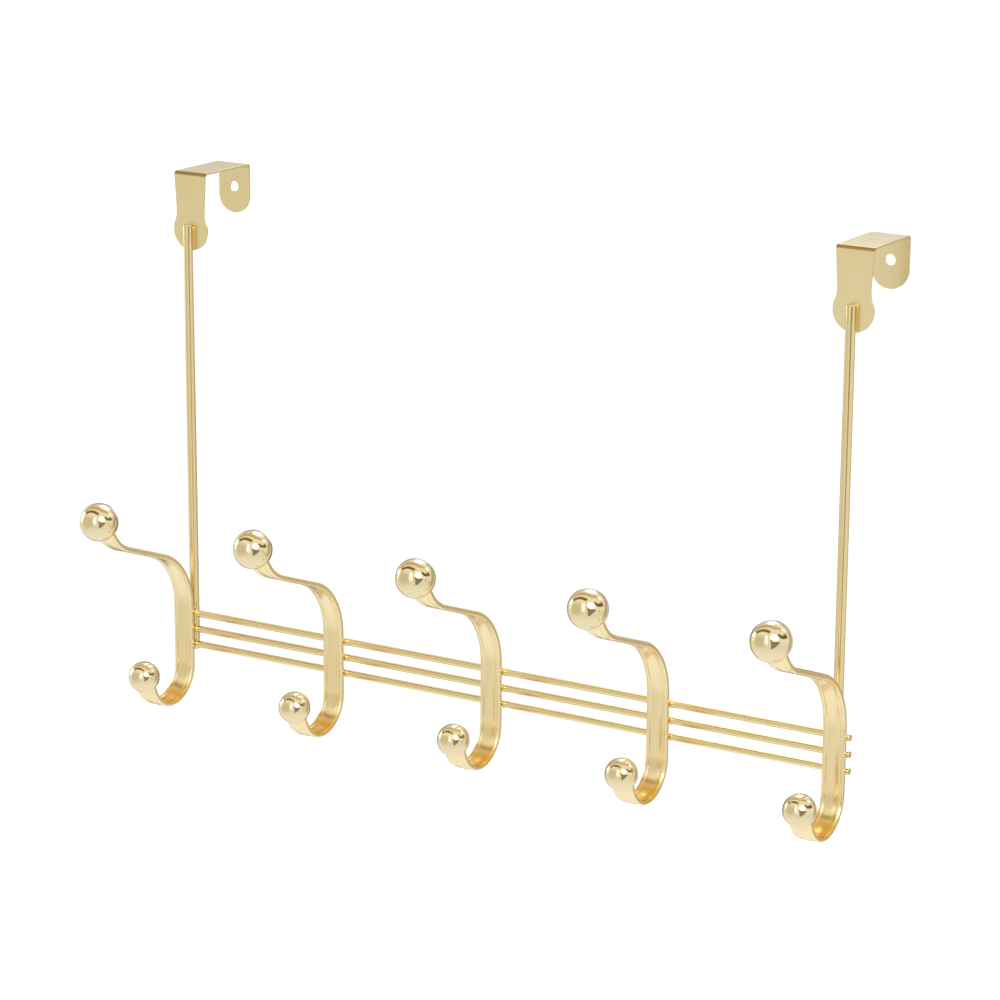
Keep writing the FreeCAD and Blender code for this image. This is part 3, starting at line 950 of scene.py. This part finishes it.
def makeFloor():
    material = bpy.data.materials.new("pale floor")
    material.use_nodes = True
    bench = Bench(material.node_tree)
    seen = seenWhite(bench)
    straight = bench.node("ShaderNodeLightPath")["Is Camera Ray"]
    lit = bench.node("ShaderNodeBsdfDiffuse", None, {"Color": (0.86, 0.86, 0.86, 1)})
    strength = studio["floorGloss"] + straight * (studio["floorGlow"] - studio["floorGloss"])
    glow = bench.node("ShaderNodeEmission", None, {"Color": (1, 1, 1, 1), "Strength": strength})
    both = bench.node("ShaderNodeAddShader", None, {0: lit, 1: glow})
    mixed = bench.node("ShaderNodeMixShader", None, {0: seen, 1: lit, 2: both})
    bench.node("ShaderNodeOutputMaterial", None, {"Surface": mixed})
    h, z = studio["floorSize"] / 2, studio["floorZ"]
    floor = meshObject("floor", [(-h, -h, z), (h, -h, z), (h, h, z), (-h, h, z)], [(0, 1, 2, 3)], material)


def wayTo(toRight, toUp):
    # the direction from the rack at these angles from the way to the camera
    right, up, forward = cameraAxes()
    a, b = math.radians(toRight), math.radians(toUp)
    return ((-forward * math.cos(b) + up * math.sin(b)) * math.cos(a) + right * math.sin(a)).normalized()


def bandFinish(name, look):
    # plain light of one tone that fades out towards the band's edges
    material = bpy.data.materials.new(name)
    material.use_nodes = True
    bench = Bench(material.node_tree)
    marks = bench.node("ShaderNodeUVMap", {"uv_map": "band"})
    across = bench.node("ShaderNodeSeparateXYZ", None, {"Vector": marks})
    u, v = across["X"], across["Y"]
    ends, lower, upper = look["fade"]
    shown = (bench.clamp(u / ends) * bench.clamp((1 - u) / ends)
             * bench.clamp(v / lower) * bench.clamp((1 - v) / upper))
    shown = shown * shown * (3 - 2 * shown)
    glow = bench.node("ShaderNodeEmission", None, {"Color": (*look["tone"], 1), "Strength": 1.0})
    clear = bench.node("ShaderNodeBsdfTransparent")
    mixed = bench.node("ShaderNodeMixShader", None, {0: shown, 1: clear, 2: glow})
    bench.node("ShaderNodeOutputMaterial", None, {"Surface": mixed})
    return material


def makeBand(name, look):
    # a curved strip at one distance from the rack; only reflections see it
    corners = [wayTo(*spot) for spot in look["path"]]
    legSteps, rows = 10, 8
    ways = []
    for a, b in zip(corners, corners[1:]):
        ways += [a.slerp(b, i / legSteps) for i in range(legSteps)]
    ways.append(corners[-1])
    last = len(ways) - 1
    points, marks = [], []
    for i, way in enumerate(ways):
        onward = ways[min(i + 1, last)] - ways[max(i - 1, 0)]
        side = way.cross(onward).normalized()
        thick = math.radians(look["thick"][0] + (look["thick"][1] - look["thick"][0]) * i / last)
        for j in range(rows + 1):
            lean = thick * (j / rows - 0.5)
            spot = way * math.cos(lean) + side * math.sin(lean)
            points.append(Vector(studio["lookAt"]) + spot * look["distance"])
            marks.append((i / last, j / rows))
    faces = [(k, k + rows + 1, k + rows + 2, k + 1)
             for i in range(last) for k in range(i * (rows + 1), i * (rows + 1) + rows)]
    band = meshObject(name, points, faces, bandFinish(name, look))
    layer = band.data.uv_layers.new(name="band")
    for loop in band.data.loops:
        layer.data[loop.index].uv = marks[loop.vertex_index]
    band.visible_camera = False
    band.visible_diffuse = False
    band.visible_shadow = False


# each lamp: degrees right of and above the camera, distance, width, height and how bright it looks
lamps = {
    "keyLamp": (16.0, 17.0, 2.2, 1.5, 1.5, 2.1),
    "backLamp": (12.0, 117.0, 2.4, 1.5, 1.5, 2.0),
    "leftLamp": (-57.0, 155.0, 2.4, 0.9, 1.2, 1.7),
}


def makeLamp(name, toRight, toUp, distance, width, height, brightness):
    way = wayTo(toRight, toUp)
    data = bpy.data.lights.new(name, "AREA")
    data.shape = "ELLIPSE"
    data.size, data.size_y = width, height
    # the power at which an ellipse of this size looks this bright
    data.energy = brightness * math.pi * math.pi * width * height / 4
    lamp = bpy.data.objects.new(name, data)
    bpy.context.scene.collection.objects.link(lamp)
    spot = Vector(studio["lookAt"]) + way * distance
    lamp.matrix_world = Matrix.Translation(spot) @ way.to_track_quat("Z", "Y").to_matrix().to_4x4()
    lamp.visible_camera = False


makeCamera()
makeWorld()
makeFloor()
for name, look in bands.items():
    makeBand(name, look)
for name, look in lamps.items():
    makeLamp(name, *look)
bpy.context.scene.view_settings.view_transform = "Standard"
print("studio ready")
